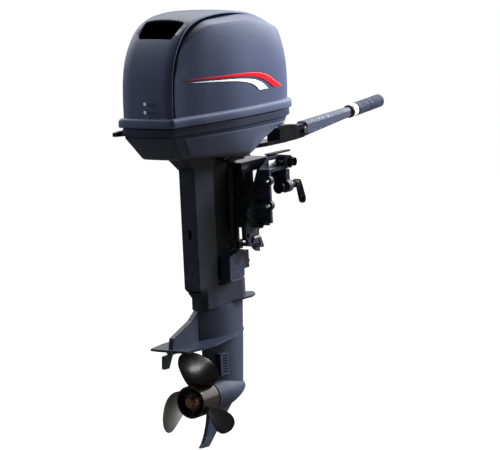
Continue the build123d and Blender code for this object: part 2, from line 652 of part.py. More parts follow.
# ---- gears ----
def bevel_gear(teeth, pitch_radius, mate_radius, back_length, bore, start_angle):
    """Build a bevel gear with its cone point at the world origin, facing down the Z axis from above."""
    cone_angle = math.atan2(pitch_radius, mate_radius)
    slant = math.hypot(pitch_radius, mate_radius)
    face = 0.34 * slant
    root_outer = pitch_radius - 1.9 * math.cos(cone_angle)
    root_inner = root_outer - face * math.sin(cone_angle)
    outer_height = mate_radius + 1.9 * math.sin(cone_angle)
    inner_height = outer_height - face * math.cos(cone_angle)
    with BuildPart() as gear:
        cone((0, 0, inner_height), (0, 0, outer_height), root_inner, root_outer)
        rod((0, 0, outer_height), (0, 0, outer_height + back_length), root_outer)
        thickness = 0.36 * 2 * math.pi * pitch_radius / teeth
        along = Vector(math.sin(cone_angle), 0, math.cos(cone_angle))
        up = Vector(math.cos(cone_angle), 0, -math.sin(cone_angle))
        for tooth_index in range(teeth):
            turn = start_angle + 360 * tooth_index / teeth
            tooth_plane = Plane(origin=along * (slant - face), x_dir=(0, 1, 0), z_dir=along)
            with BuildSketch(tooth_plane.rotated((0, 0, 0))) as inner_end:
                tooth_side = 1 if (tooth_plane.y_dir.dot(up) > 0) else -1
                Polygon((-0.38 * thickness, -1.9 * tooth_side), (0.38 * thickness, -1.9 * tooth_side),
                        (0.24 * thickness, 1.2 * tooth_side), (-0.24 * thickness, 1.2 * tooth_side), align=None)
            with BuildSketch(tooth_plane.offset(face)) as outer_end:
                Polygon((-0.52 * thickness, -2.4 * tooth_side), (0.52 * thickness, -2.4 * tooth_side),
                        (0.34 * thickness, 1.7 * tooth_side), (-0.34 * thickness, 1.7 * tooth_side), align=None)
            tooth = loft([inner_end.sketch.face(), outer_end.sketch.face()], mode=Mode.PRIVATE)
            add(tooth.rotate(Axis.Z, turn))
        rod((0, 0, inner_height - 5), (0, 0, outer_height + back_length + 5), bore, mode=Mode.SUBTRACT)
    return gear.part


pinion_pitch_radius = gear_pitch_radius * pinion_teeth / gear_teeth
pinion_blank = bevel_gear(pinion_teeth, pinion_pitch_radius, gear_pitch_radius, 4, driveshaft_radius, 0)
gear_blank = bevel_gear(gear_teeth, gear_pitch_radius, pinion_pitch_radius, 5,
                        prop_shaft_radius + running_gap, 0)
half_tooth = 180 / gear_teeth
dog_reach = 10.1

with BuildPart() as pinion:
    add(pinion_blank.moved(Location((shaft_x, 0, prop_z))))
save(pinion, "pinion")

with BuildPart() as forward_gear:
    add(gear_blank.rotate(Axis.Y, 90).rotate(Axis.X, half_tooth).moved(Location((shaft_x, 0, prop_z))))
    # dog teeth towards the clutch
    for dog_index in range(3):
        dog_angle = math.radians(120 * dog_index)
        dog_y = 12.6 * math.sin(dog_angle)
        dog_z = prop_z + 12.6 * math.cos(dog_angle)
        rod((shaft_x + dog_reach, dog_y, dog_z), (-105, dog_y, dog_z), 2)
save(forward_gear, "forward_gear")

with BuildPart() as reverse_gear:
    add(gear_blank.rotate(Axis.Y, -90).moved(Location((shaft_x, 0, prop_z))))
    for dog_index in range(3):
        dog_angle = math.radians(120 * dog_index)
        dog_y = 12.6 * math.sin(dog_angle)
        dog_z = prop_z + 12.6 * math.cos(dog_angle)
        rod((-145, dog_y, dog_z), (shaft_x - dog_reach, dog_y, dog_z), 2)
save(reverse_gear, "reverse_gear")

with BuildPart() as dog_clutch:
    rod((shaft_x - 6, 0, prop_z), (shaft_x + 6, 0, prop_z), 12.5)
    rod((shaft_x - 7, 0, prop_z), (shaft_x + 7, 0, prop_z), prop_shaft_radius + running_gap, mode=Mode.SUBTRACT)
save(dog_clutch, "dog_clutch")

with BuildPart() as propeller_shaft:
    rod((-283, 0, prop_z), (-72, 0, prop_z), prop_shaft_radius)
save(propeller_shaft, "propeller_shaft")

with BuildPart() as driveshaft:
    rod((shaft_x, 0, -558), (shaft_x, 0, 70), driveshaft_radius)
save(driveshaft, "driveshaft")

with BuildPart() as shift_rod:
    rod((-88, 0, -548), (-88, 0, 84), 4)
save(shift_rod, "shift_rod")


# ---- propeller ----
blade_sections = [
    (36, 62, 9.0, 0), (52, 84, 7.6, 3), (72, 100, 6.0, 8), (90, 102, 4.8, 14), (106, 84, 3.6, 21),
    (116, 54, 2.8, 27), (prop_radius - 1, 24, 2.2, 30),
]
first_blade_turn = 12


def blade_section(radius, chord, thickness, skew):
    """Sketch one section of a blade standing up from the shaft line."""
    pitch_angle = math.atan2(prop_pitch, 2 * math.pi * radius)
    chord_dir = (math.sin(pitch_angle), -math.cos(pitch_angle), 0)
    centre = (-239 - skew * math.sin(pitch_angle), skew * math.cos(pitch_angle), prop_z + radius)
    with BuildSketch(Plane(origin=centre, x_dir=chord_dir, z_dir=(0, 0, 1))) as outline:
        with BuildLine():
            Spline((-chord / 2, 0), (-chord * 0.2, thickness * 0.5), (chord * 0.2, thickness * 0.5),
                   (chord / 2, 0))
            Spline((chord / 2, 0), (chord * 0.2, -thickness * 0.35), (-chord * 0.2, -thickness * 0.35),
                   (-chord / 2, 0))
        make_face()
    return outline.sketch.face()


with BuildPart() as one_blade:
    loft([blade_section(*values) for values in blade_sections])

with BuildPart() as propeller:
    rod((hub_rear_x, 0, prop_z), (hub_front_x, 0, prop_z), hub_radius)
    for blade_index in range(3):
        blade_turn = first_blade_turn + 120 * blade_index
        add(one_blade.part.rotate(Axis((0, 0, prop_z), (1, 0, 0)), blade_turn))
    rod((hub_rear_x - 1, 0, prop_z), (hub_front_x + 1, 0, prop_z), hub_radius - 5, mode=Mode.SUBTRACT)
    rod((hub_rear_x + 10, 0, prop_z), (hub_front_x - 2, 0, prop_z), 24)
    for rib_turn in (60, 180, 300):
        rib_angle = math.radians(rib_turn)
        with BuildSketch(Plane(origin=(hub_rear_x + 10, 0, prop_z), z_dir=(1, 0, 0),
                               x_dir=(0, math.sin(rib_angle), math.cos(rib_angle)))) as rib:
            with Locations((30, 0)):
                Rectangle(16, 5)
        extrude(rib.sketch, amount=hub_front_x - 2 - hub_rear_x - 10)
    rod((hub_rear_x, 0, prop_z), (hub_front_x, 0, prop_z), prop_shaft_radius, mode=Mode.SUBTRACT)
save(propeller, "propeller")

with BuildPart() as propeller_nut:
    rod((-268, 0, prop_z), (-266, 0, prop_z), 17)
    hexagon((-279, 0, prop_z), (-268, 0, prop_z), 27)
    rod((-282, 0, prop_z), (-279, 0, prop_z), 12)
    rod((-290, 0, prop_z), (-260, 0, prop_z), prop_shaft_radius, mode=Mode.SUBTRACT)
save(propeller_nut, "propeller_nut")


# ---- powerhead ----
with BuildPart() as cylinder_block:
    block(-292, shaft_x, -62, 62, 76, 288)
    rod((shaft_x, 0, 76), (shaft_x, 0, 288), 58)
    level_plate(both_sides([(-296, 48), (-90, 48)]), 62.2, 76)
    block(-100, -58, -40, 40, 120, 244)
    for lug_angle in (60, 300):
        lug_x = shaft_x + 96 * math.cos(math.radians(lug_angle))
        lug_y = 96 * math.sin(math.radians(lug_angle))
        lug_turn = Plane(origin=(shaft_x, 0, 272), x_dir=(lug_x - shaft_x, lug_y, 0), z_dir=(0, 0, 1))
        with BuildSketch(lug_turn) as lug:
            with Locations((74, 0)):
                SlotOverall(64, 14)
        extrude(lug.sketch, amount=16)
    for fin_z in range(96, 280, 14):
        block(-290, -200, -64, 64, fin_z, fin_z + 4)
    rod((shaft_x, 0, 60), (shaft_x, 0, 290), 18, mode=Mode.SUBTRACT)
    for bore_z in (132, 232):
        rod((-294, 0, bore_z), (-190, 0, bore_z), 34, mode=Mode.SUBTRACT)
    block(-180, -70, -44, 44, 96, 268, mode=Mode.SUBTRACT)
    # lower bolt flange opening for the exhaust and the shift rod
    rod((-200, 0, 55), (-200, 0, 72), 17, mode=Mode.SUBTRACT)
    rod((-88, 0, 55), (-88, 0, 90), 6, mode=Mode.SUBTRACT)
save(cylinder_block, "cylinder_block")

with BuildPart() as cylinder_head:
    block(-322, -292, -56, 56, 84, 280)
    for plug_z in (132, 232):
        rod((-330, 0, plug_z), (-285, 0, plug_z), 7, mode=Mode.SUBTRACT)
    for groove_z in range(96, 276, 20):
        block(-324, -314, -60, 60, groove_z, groove_z + 8, mode=Mode.SUBTRACT)
save(cylinder_head, "cylinder_head")

with BuildPart() as spark_plugs:
    for plug_z in (132, 232):
        rod((-322, 0, plug_z), (-292, 0, plug_z), 7)
        hexagon((-332, 0, plug_z), (-322, 0, plug_z), 21)
        rod((-352, 0, plug_z), (-332, 0, plug_z), 6)
        cone((-376, 0, plug_z), (-352, 0, plug_z), 8, 10)
save(spark_plugs, "spark_plugs")

with BuildPart() as exhaust_cover:
    side_plate([(-284, 90), (-284, 276), (-196, 276), (-170, 240), (-170, 120), (-196, 90)], 64, 76, 6)
save(exhaust_cover, "exhaust_cover")

with BuildPart() as crankshaft:
    rod((shaft_x, 0, 70), (shaft_x, 0, 330), 17.95)
    for web_z in (104, 146, 204, 246):
        rod((shaft_x, 0, web_z), (shaft_x, 0, web_z + 14), 38)
save(crankshaft, "crankshaft")

with BuildPart() as flywheel:
    rod((shaft_x, 0, 296), (shaft_x, 0, 328), 86)
    rod((shaft_x, 0, 295), (shaft_x, 0, 318), 78, mode=Mode.SUBTRACT)
    rod((shaft_x, 0, 298), (shaft_x, 0, 320), 30)
    for tooth_index in range(48):
        tooth_angle = math.radians(7.5 * tooth_index)
        tooth_at = (shaft_x + 86 * math.cos(tooth_angle), 86 * math.sin(tooth_angle))
        rod((tooth_at[0], tooth_at[1], 300), (tooth_at[0], tooth_at[1], 306), 1.6)
    rod((shaft_x, 0, 290), (shaft_x, 0, 335), 17.95, mode=Mode.SUBTRACT)
save(flywheel, "flywheel")

with BuildPart() as recoil_housing:
    rod((shaft_x, 0, 312), (shaft_x, 0, 364), 93)
    rod((shaft_x, 0, 310), (shaft_x, 0, 360), 90, mode=Mode.SUBTRACT)
    rod((shaft_x, 0, 335), (shaft_x, 0, 361), 9)
    for leg_angle in (60, 180, 300):
        leg_x = shaft_x + 94 * math.cos(math.radians(leg_angle))
        leg_y = 94 * math.sin(math.radians(leg_angle))
        rod((leg_x, leg_y, 288), (leg_x, leg_y, 330), 4)
    block(-36, -14, -9, 9, 336, 358)
    block(-44, -10, -5, 5, 340, 354, mode=Mode.SUBTRACT)
save(recoil_housing, "recoil_housing")

with BuildPart() as recoil_reel:
    rod((shaft_x, 0, 337), (shaft_x, 0, 340), 82)
    rod((shaft_x, 0, 340), (shaft_x, 0, 354), 66)
    rod((shaft_x, 0, 354), (shaft_x, 0, 357), 82)
    rod((shaft_x, 0, 334), (shaft_x, 0, 365), 9 + running_gap, mode=Mode.SUBTRACT)
save(recoil_reel, "recoil_reel")

with BuildPart() as carburetor:
    rod((-57.8, 0, 182), (4, 0, 182), 26)
    rod((-30, 0, 126), (-30, 0, 170), 24)
    block(-48, -12, -32, 32, 196, 214)
    rod((-60, 0, 182), (6, 0, 182), 17, mode=Mode.SUBTRACT)
save(carburetor, "carburetor")

with BuildPart() as intake_silencer:
    block(4.2, 62, -62, 62, 118, 246)
    block(8, 58, -58, 58, 122, 242, mode=Mode.SUBTRACT)
    rod((0, 0, 182), (12, 0, 182), 20, mode=Mode.SUBTRACT)
    block(50, 66, -40, 40, 220, 238, mode=Mode.SUBTRACT)
save(intake_silencer, "intake_silencer")


# ---- controls on the bottom cowl ----
with BuildPart() as starter_handle:
    rod((70, 0, 112), (118.5, 0, 112), 2)
    block(118.5, 136, -42, 42, 102, 122)
    fillet(starter_handle.edges().filter_by(Axis.Y).filter_by_position(Axis.X, 130, 140), 6)
save(starter_handle, "starter_handle")

with BuildPart() as choke_knob:
    rod((60, 62, 106), (122, 62, 106), 4)
    rod((120, 62, 106), (133, 62, 106), 11)
save(choke_knob, "choke_knob")

with BuildPart() as stop_button:
    rod((88, -64, 106), (120, -64, 106), 7)
    cone((120, -64, 106), (123, -64, 106), 7, 5.5)
save(stop_button, "stop_button")

with BuildPart() as shift_lever:
    rod((-30, 88, 84), (-30, 136, 84), 6)
    side_plate([(-37, 76), (-23, 76), (-20, 140), (-24, 148), (-32, 148), (-36, 140)], 128, 136, 2)
    with Locations((-28, 137, 150)):
        Sphere(11)
save(shift_lever, "shift_lever")


# ---- tiller ----
tiller_axis = Vector(math.cos(math.radians(tiller_rise)), 0, math.sin(math.radians(tiller_rise)))
tiller_root = Vector(tiller_pivot_x, tiller_y, tiller_pivot_z)


def tiller_plane(distance):
    """Give the plane across the tiller at a distance from its pivot."""
    return Plane(origin=tiller_root + tiller_axis * distance, x_dir=(0, 1, 0), z_dir=tiller_axis)


def tiller_bar(first, last, first_radius, last_radius, mode=Mode.ADD):
    """Add a round piece on the tiller axis."""
    start = tiller_root + tiller_axis * first
    end = tiller_root + tiller_axis * last
    if first_radius == last_radius:
        rod(start, end, first_radius, mode=mode)
    else:
        cone(start, end, first_radius, last_radius, mode=mode)


with BuildPart() as tiller_arm:
    with BuildSketch(tiller_plane(22)) as arm_rear:
        RectangleRounded(34, 38, 9)
    with BuildSketch(tiller_plane(262)) as arm_front:
        RectangleRounded(27, 27, 11)
    loft([arm_rear.sketch.face(), arm_front.sketch.face()])
    rod((tiller_pivot_x, -43.6, tiller_pivot_z), (tiller_pivot_x, -26.4, tiller_pivot_z), 15)
    block(tiller_pivot_x, tiller_pivot_x + 26, -43.6, -26.4, tiller_pivot_z - 13, tiller_pivot_z + 16)
    tiller_bar(260, 276, 13, 13)
    tiller_bar(274, 412, 9, 9)
    rod((tiller_pivot_x, -60, tiller_pivot_z), (tiller_pivot_x, -10, tiller_pivot_z), 6, mode=Mode.SUBTRACT)
save(tiller_arm, "tiller_arm")

with BuildPart() as tiller_ring:
    tiller_bar(262, 296, 17.5, 17.5)
    tiller_bar(260, 276, 13, 13, mode=Mode.SUBTRACT)
    tiller_bar(275, 298, 9, 9, mode=Mode.SUBTRACT)
save(tiller_ring, "tiller_ring")

with BuildPart() as throttle_grip:
    tiller_bar(297, 426, grip_radius, grip_radius)
    tiller_bar(426, 432, grip_radius, grip_radius - 5)
    tiller_bar(296, 413, 9 + running_gap, 9 + running_gap, mode=Mode.SUBTRACT)
    for groove_index in range(20):
        groove_turn = 18 * groove_index
        for band_start, band_end in ((309, 358), (368, 417)):
            groove_plane = tiller_plane(band_start)
            with BuildSketch(groove_plane) as groove:
                with Locations((grip_radius * math.cos(math.radians(groove_turn)),
                                grip_radius * math.sin(math.radians(groove_turn)))):
                    Circle(1.3)
            extrude(groove.sketch, amount=band_end - band_start, mode=Mode.SUBTRACT)
save(throttle_grip, "throttle_grip")

with BuildPart() as tiller_pivot_bolt:
    rod((tiller_pivot_x, -61, tiller_pivot_z), (tiller_pivot_x, -9, tiller_pivot_z), 5.95)
    hexagon((tiller_pivot_x, -61, tiller_pivot_z), (tiller_pivot_x, -55.1, tiller_pivot_z), 17)
    hexagon((tiller_pivot_x, -14.9, tiller_pivot_z), (tiller_pivot_x, -9, tiller_pivot_z), 17)
save(tiller_pivot_bolt, "tiller_pivot_bolt")
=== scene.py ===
import json
import math

import bmesh
import bpy
from mathutils import Matrix, Vector
from mathutils.bvhtree import BVHTree


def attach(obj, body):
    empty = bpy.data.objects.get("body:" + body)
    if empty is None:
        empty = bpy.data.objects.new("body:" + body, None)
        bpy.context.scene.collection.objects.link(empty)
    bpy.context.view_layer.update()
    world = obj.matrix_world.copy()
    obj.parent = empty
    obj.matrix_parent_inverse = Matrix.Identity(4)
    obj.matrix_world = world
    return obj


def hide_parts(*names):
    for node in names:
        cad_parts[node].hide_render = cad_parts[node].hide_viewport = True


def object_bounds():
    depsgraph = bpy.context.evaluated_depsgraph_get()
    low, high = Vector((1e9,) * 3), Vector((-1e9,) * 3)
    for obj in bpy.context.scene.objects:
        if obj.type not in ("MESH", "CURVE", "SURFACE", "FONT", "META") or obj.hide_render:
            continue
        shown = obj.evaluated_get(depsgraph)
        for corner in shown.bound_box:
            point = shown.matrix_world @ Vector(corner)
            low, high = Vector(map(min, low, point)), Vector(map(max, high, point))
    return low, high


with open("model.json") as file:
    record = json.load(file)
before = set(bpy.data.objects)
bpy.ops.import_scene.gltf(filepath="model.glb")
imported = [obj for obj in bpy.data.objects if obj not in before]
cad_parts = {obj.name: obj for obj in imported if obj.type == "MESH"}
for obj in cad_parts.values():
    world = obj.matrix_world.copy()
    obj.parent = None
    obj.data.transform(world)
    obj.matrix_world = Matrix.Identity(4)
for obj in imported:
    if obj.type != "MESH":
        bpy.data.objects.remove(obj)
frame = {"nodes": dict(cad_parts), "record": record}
cad_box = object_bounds()
NODES = frame["nodes"]

# The CAD script draws its parts from a level 19 mm above the transom seat; so does this one.
SEAT_DROP = 19.0


def mm(x, y, z):
    """A drawn position in millimetres as a place in the frame."""
    return Vector((x, y, z + SEAT_DROP)) / 1000.0


# ---------------------------------------------------------------- materials
class Graph:
    """A small helper for node materials."""

    def __init__(self, name):
        self.mat = bpy.data.materials.new(name)
        self.mat.use_nodes = True
        self.tree = self.mat.node_tree
        self.bsdf = self.tree.nodes["Principled BSDF"]
        self.coord = self.tree.nodes.new("ShaderNodeTexCoord").outputs["Object"]

    def node(self, kind, **values):
        made = self.tree.nodes.new(kind)
        for key, value in values.items():
            setattr(made, key, value)
        return made

    def link(self, a, b):
        self.tree.links.new(a, b)

    def noise(self, scale, detail=4.0, rough=0.55, vector=None):
        made = self.node("ShaderNodeTexNoise")
        made.inputs["Scale"].default_value = scale
        made.inputs["Detail"].default_value = detail
        made.inputs["Roughness"].default_value = rough
        self.link(vector or self.coord, made.inputs["Vector"])
        return made.outputs["Fac"]

    def stretched(self, scale):
        made = self.node("ShaderNodeMapping")
        made.inputs["Scale"].default_value = scale
        self.link(self.coord, made.inputs["Vector"])
        return made.outputs["Vector"]

    def ramp(self, value, low, high, colour_low, colour_high):
        made = self.node("ShaderNodeValToRGB")
        made.color_ramp.elements[0].position = low
        made.color_ramp.elements[1].position = high
        made.color_ramp.elements[0].color = tuple(colour_low) + (1.0,)
        made.color_ramp.elements[1].color = tuple(colour_high) + (1.0,)
        self.link(value, made.inputs["Fac"])
        return made.outputs["Color"]

    def span(self, value, low, high, to_low, to_high):
        made = self.node("ShaderNodeMapRange")
        made.inputs["From Min"].default_value = low
        made.inputs["From Max"].default_value = high
        made.inputs["To Min"].default_value = to_low
        made.inputs["To Max"].default_value = to_high
        self.link(value, made.inputs["Value"])
        return made.outputs["Result"]

    def maths(self, operation, a, b):
        made = self.node("ShaderNodeMath", operation=operation)
        for socket, value in zip(made.inputs, (a, b)):
            if isinstance(value, float):
                socket.default_value = value
            else:
                self.link(value, socket)
        return made.outputs[0]

    def mix(self, factor, a, b):
        made = self.node("ShaderNodeMix", data_type="RGBA")
        for socket, value in ((made.inputs["Factor"], factor), (made.inputs[6], a), (made.inputs[7], b)):
            if isinstance(value, bpy.types.NodeSocket):
                self.link(value, socket)
            elif isinstance(value, float):
                socket.default_value = value
            else:
                socket.default_value = tuple(value) + (1.0,)
        return made.outputs[2]

    def axis(self, letter):
        made = self.node("ShaderNodeSeparateXYZ")
        self.link(self.coord, made.inputs["Vector"])
        return made.outputs[letter]

    def edges(self, low=0.53, high=0.60):
        """1 on sharp convex edges, 0 elsewhere."""
        geometry = self.node("ShaderNodeNewGeometry")
        return self.span(geometry.outputs["Pointiness"], low, high, 0.0, 1.0)

    def bump(self, height, strength, distance):
        made = self.node("ShaderNodeBump")
        made.inputs["Strength"].default_value = strength
        made.inputs["Distance"].default_value = distance
        self.link(height, made.inputs["Height"])
        return made.outputs["Normal"]


def brighter(colour, gain, lift=0.0):
    return [min(1.0, c * gain + lift) for c in colour]


# painted shade on the leg, in metres: the soft edge of the near-black shade painted on the casing's forward
# part, and the place and half width of the shadow painted along the groove beside its rear face
SHADE_ZONE_BLEND = 0.002
SHADOW_LINE_X = -0.3055
SHADOW_LINE_HALF = 0.0022


def paint(name, base, light, rough=0.32, coat=0.5, peel=0.05, wear=None, painted_shade_zone=None):
    """Sprayed paint: colour drift, metallic specks, orange peel, dulled patches and worn edges.

    The shade zone argument is (limit in X, lowest Z, shade colour): painted shade, near black, ahead of the
    limit, and a shadow painted along the groove line beside the rear face, both above the lowest Z; the shine
    is dimmed there as well.
    """
    g = Graph(name)
    colour = g.ramp(g.noise(3.0, 3.0), 0.35, 0.68, base, light)
    flakes = g.span(g.noise(1100.0, 2.0), 0.62, 0.74, 0.0, 0.30)
    colour = g.mix(flakes, colour, brighter(light, 1.8, 0.01))
    if painted_shade_zone:
        limit, low, shade = painted_shade_zone
        # painted shade: near black on the part ahead of the X limit, which lies in shade
        forward = g.span(g.axis("X"), limit - SHADE_ZONE_BLEND, limit + SHADE_ZONE_BLEND, 0.0, 1.0)
        above = g.span(g.axis("Z"), low - SHADE_ZONE_BLEND, low + SHADE_ZONE_BLEND, 0.0, 1.0)
        shaded = g.maths("MULTIPLY", forward, above)
        colour = g.mix(shaded, colour, shade)
        # a shadow painted along the groove line beside the rear face; the mesh has no groove cut there
        from_shadow_line = g.maths("ABSOLUTE", g.maths("ADD", g.axis("X"), -SHADOW_LINE_X), 0.0)
        shadow_line = g.span(from_shadow_line, SHADOW_LINE_HALF, SHADOW_LINE_HALF + 0.001, 1.0, 0.0)
        shadow_line = g.maths("MULTIPLY", shadow_line, above)
        colour = g.mix(shadow_line, colour, shade)
        # the shine is dimmed in the painted shade as well
        g.link(g.mix(g.maths("MAXIMUM", shaded, shadow_line), (1.0, 1.0, 1.0), (0.10, 0.10, 0.10)),
               g.bsdf.inputs["Specular Tint"])
    if wear:
        scuff = g.span(g.noise(60.0, 6.0, 0.7), 0.50, 0.66, 0.0, 0.30)
        colour = g.mix(g.maths("MULTIPLY", g.edges(), scuff), colour, wear)
    g.link(colour, g.bsdf.inputs["Base Color"])
    smudge = g.noise(11.0, 5.0, 0.6)
    fine = g.noise(170.0, 4.0, 0.6)
    haze = g.maths("ADD", g.span(smudge, 0.3, 0.7, rough - 0.05, rough + 0.06),
                   g.span(fine, 0.4, 0.8, 0.0, 0.06))
    g.link(haze, g.bsdf.inputs["Roughness"])
    if not painted_shade_zone:
        g.bsdf.inputs["Coat Weight"].default_value = coat
    g.bsdf.inputs["Coat Roughness"].default_value = 0.12
    g.link(g.bump(g.noise(420.0, 2.0), peel, 0.0004), g.bsdf.inputs["Normal"])
    return g.mat


def metal(name, base, light, rough=0.3, brushed=0.3, scratch=(1.0, 1.0, 30.0)):
    """Bare metal with brushing, tarnish patches and bright edges."""
    g = Graph(name)
    fine = g.noise(160.0, 3.0, 0.6, g.stretched(scratch))
    colour = g.ramp(g.noise(45.0, 4.0), 0.35, 0.7, base, light)
    colour = g.mix(g.maths("MULTIPLY", g.edges(), 0.5), colour, brighter(light, 1.25))
    g.link(colour, g.bsdf.inputs["Base Color"])
    g.link(g.span(fine, 0.3, 0.7, rough - 0.08, rough + 0.14), g.bsdf.inputs["Roughness"])
    g.bsdf.inputs["Metallic"].default_value = 1.0
    g.link(g.bump(fine, brushed, 0.0003), g.bsdf.inputs["Normal"])
    return g.mat


def plastic(name, base, light, rough=0.5, grain=0.25, grain_scale=700.0, coat=0.0):
    """Moulded plastic or rubber with a fine grain."""
    g = Graph(name)
    g.link(g.ramp(g.noise(9.0, 4.0), 0.35, 0.7, base, light), g.bsdf.inputs["Base Color"])
    g.link(g.span(g.noise(25.0, 5.0), 0.3, 0.7, rough - 0.06, rough + 0.1), g.bsdf.inputs["Roughness"])
    g.bsdf.inputs["Coat Weight"].default_value = coat
    g.link(g.bump(g.noise(grain_scale, 2.0), grain, 0.0004), g.bsdf.inputs["Normal"])
    return g.mat


# near black for painted shade
PAINTED_SHADE_BLACK = (0.0016, 0.0016, 0.0022)
NAVY = paint("navy_paint", (0.040, 0.048, 0.084), (0.047, 0.056, 0.098), rough=0.33, coat=0.22)
# The leg's navy is a darker copy of the cowl's navy: painted shade on the leg.
LEG_NAVY_AND_SHADE = paint("leg_paint", (0.0085, 0.0105, 0.020), (0.0115, 0.014, 0.026), rough=0.42, coat=0.0,
                 wear=(0.05, 0.06, 0.09))
# The casing's navy is darker still, and carries painted shade: near black on its forward part and along the
# groove beside its rear face.
CASING_PAINT_AND_SHADE = paint("casing_paint_and_shade", (0.0058, 0.0068, 0.0120), (0.0078, 0.0092, 0.0160), rough=0.46, coat=0.0,
               wear=(0.04, 0.05, 0.07), painted_shade_zone=(-0.158, -0.272, PAINTED_SHADE_BLACK))
BRACKET = paint("bracket_paint", (0.0075, 0.0085, 0.014), (0.012, 0.014, 0.023), rough=0.26, coat=0.45,
                wear=(0.05, 0.055, 0.07))
BLACK = paint("black_paint", (0.0020, 0.0020, 0.0026), (0.0036, 0.0036, 0.0045), rough=0.24, coat=0.5,
              wear=(0.018, 0.018, 0.022))
PROP_BLACK = paint("propeller_paint", (0.0045, 0.0030, 0.0026), (0.0075, 0.0052, 0.0046), rough=0.22,
                   coat=0.2)
TILLER = paint("tiller_paint", (0.022, 0.027, 0.044), (0.030, 0.036, 0.056), rough=0.36, coat=0.0,
               wear=(0.26, 0.28, 0.33))
STEEL = metal("bare_steel", (0.42, 0.42, 0.44), (0.62, 0.62, 0.64), rough=0.24)
BLACKENED = metal("blackened_steel", (0.020, 0.020, 0.023), (0.045, 0.045, 0.050), rough=0.28)
DULL_STEEL = metal("gear_steel", (0.25, 0.25, 0.27), (0.42, 0.42, 0.44), rough=0.36)
IRON = metal("cast_iron", (0.08, 0.08, 0.085), (0.16, 0.16, 0.165), rough=0.5, brushed=0.6)
ALUMINIUM = metal("cast_aluminium", (0.34, 0.35, 0.37), (0.50, 0.51, 0.53), rough=0.42, brushed=0.5,
                  scratch=(1.0, 1.0, 1.0))
BRASS = metal("brass", (0.20, 0.12, 0.08), (0.42, 0.26, 0.17), rough=0.30)
BLACK_PLASTIC = plastic("black_plastic", (0.005, 0.005, 0.006), (0.011, 0.011, 0.013))
WHITE_PLASTIC = plastic("white_plastic", (0.62, 0.63, 0.66), (0.78, 0.79, 0.82), rough=0.35)
RED_PLASTIC = plastic("red_plastic", (0.35, 0.01, 0.012), (0.50, 0.02, 0.02), rough=0.3, coat=0.4)
# Matt black with no shine: the black plastic of the parts inside the hood, and also painted shade in the air
# intake's hollow and on the band's side walls.
BLACK_PLASTIC_AND_SHADE = plastic("black_plastic_and_painted_shade", (0.0012, 0.0012, 0.0014), (0.0022, 0.0022, 0.0025), rough=0.8)
BLACK_PLASTIC_AND_SHADE.node_tree.nodes["Principled BSDF"].inputs["Specular IOR Level"].default_value = 0.0
RUBBER = plastic("rubber", (0.008, 0.008, 0.009), (0.016, 0.016, 0.018), rough=0.65)
GRIP = plastic("grip_rubber", (0.012, 0.015, 0.030), (0.022, 0.027, 0.048), rough=0.42, grain=0.4)
RED_FILM = plastic("red_film", (0.44, 0.006, 0.012), (0.52, 0.010, 0.018), rough=0.28, grain=0.05, coat=0.4)
WHITE_FILM = plastic("white_film", (0.70, 0.71, 0.74), (0.80, 0.81, 0.84), rough=0.30, grain=0.05, coat=0.3)
NAVY_TRAY = paint("tray_paint", (0.014, 0.017, 0.031), (0.018, 0.022, 0.039), rough=0.36, coat=0.1)
BRIGHT = metal("bright_zinc", (0.50, 0.50, 0.52), (0.66, 0.66, 0.68), rough=0.42)
BRIGHT.node_tree.nodes["Principled BSDF"].inputs["Metallic"].default_value = 0.35


def banded(name, bands, last, rough=0.4, coat=0.3):
    """Colour bands along X, each (limit, colour) up to its limit, then the last colour."""
    g = Graph(name)
    along = g.axis("X")
    colour = last
    for limit, shade in reversed(bands):
        step = g.span(along, limit - 0.0004, limit + 0.0004, 0.0, 1.0)
        colour = g.mix(step, shade, colour)
    tone = g.span(g.noise(30.0, 4.0), 0.3, 0.7, 0.86, 1.0)
    g.link(g.mix(tone, (0.0, 0.0, 0.0), colour), g.bsdf.inputs["Base Color"])
    g.link(g.span(g.noise(25.0, 5.0), 0.3, 0.7, rough - 0.06, rough + 0.1), g.bsdf.inputs["Roughness"])
    g.bsdf.inputs["Coat Weight"].default_value = coat
    g.link(g.bump(g.noise(700.0, 2.0), 0.1, 0.0004), g.bsdf.inputs["Normal"])
    return g.mat


DARK, PALE = (0.004, 0.004, 0.005), (0.72, 0.73, 0.76)
TILLER_PIVOT_X = 0.240
RING = banded("ring_plastic", [(TILLER_PIVOT_X + 0.270, DARK), (TILLER_PIVOT_X + 0.289, PALE)], DARK)

SLOT_MATERIAL = {
    "cowl_paint": NAVY, "leg_paint": LEG_NAVY_AND_SHADE, "black_paint": BLACK, "prop_paint": PROP_BLACK,
    "tiller_paint": TILLER, "bare_steel": STEEL, "gear_steel": DULL_STEEL, "cast_iron": IRON,
    "cast_aluminium": ALUMINIUM, "brass": BRASS, "black_plastic": BLACK_PLASTIC,
    "white_plastic": WHITE_PLASTIC, "red_plastic": RED_PLASTIC, "rubber": RUBBER, "grip_rubber": GRIP,
}
NODE_MATERIAL = {
    "upper_casing": CASING_PAINT_AND_SHADE, "clamp_bracket_starboard": BRACKET, "clamp_bracket_port": BRACKET,
    "clamp_screw_starboard": BLACKENED, "clamp_screw_port": BLACKENED, "clamp_pad_starboard": BLACKENED,
    "clamp_pad_port": BLACKENED, "tilt_tube": BLACKENED, "tilt_tube_nuts": BLACKENED,
    "bracket_spacer": BLACKENED, "friction_lever": BLACKENED,
    "water_inlet_covers": LEG_NAVY_AND_SHADE, "cowl_screws": BRIGHT, "tiller_ring": RING,
    "reverse_lock_hook": BRIGHT,
    "intake_louvre": BLACK_PLASTIC_AND_SHADE, "recoil_housing": BLACK_PLASTIC_AND_SHADE, "recoil_reel": BLACK_PLASTIC_AND_SHADE,
    "propeller_shaft": BRASS, "trim_rod": STEEL, "tiller_pivot_bolt": STEEL,
}
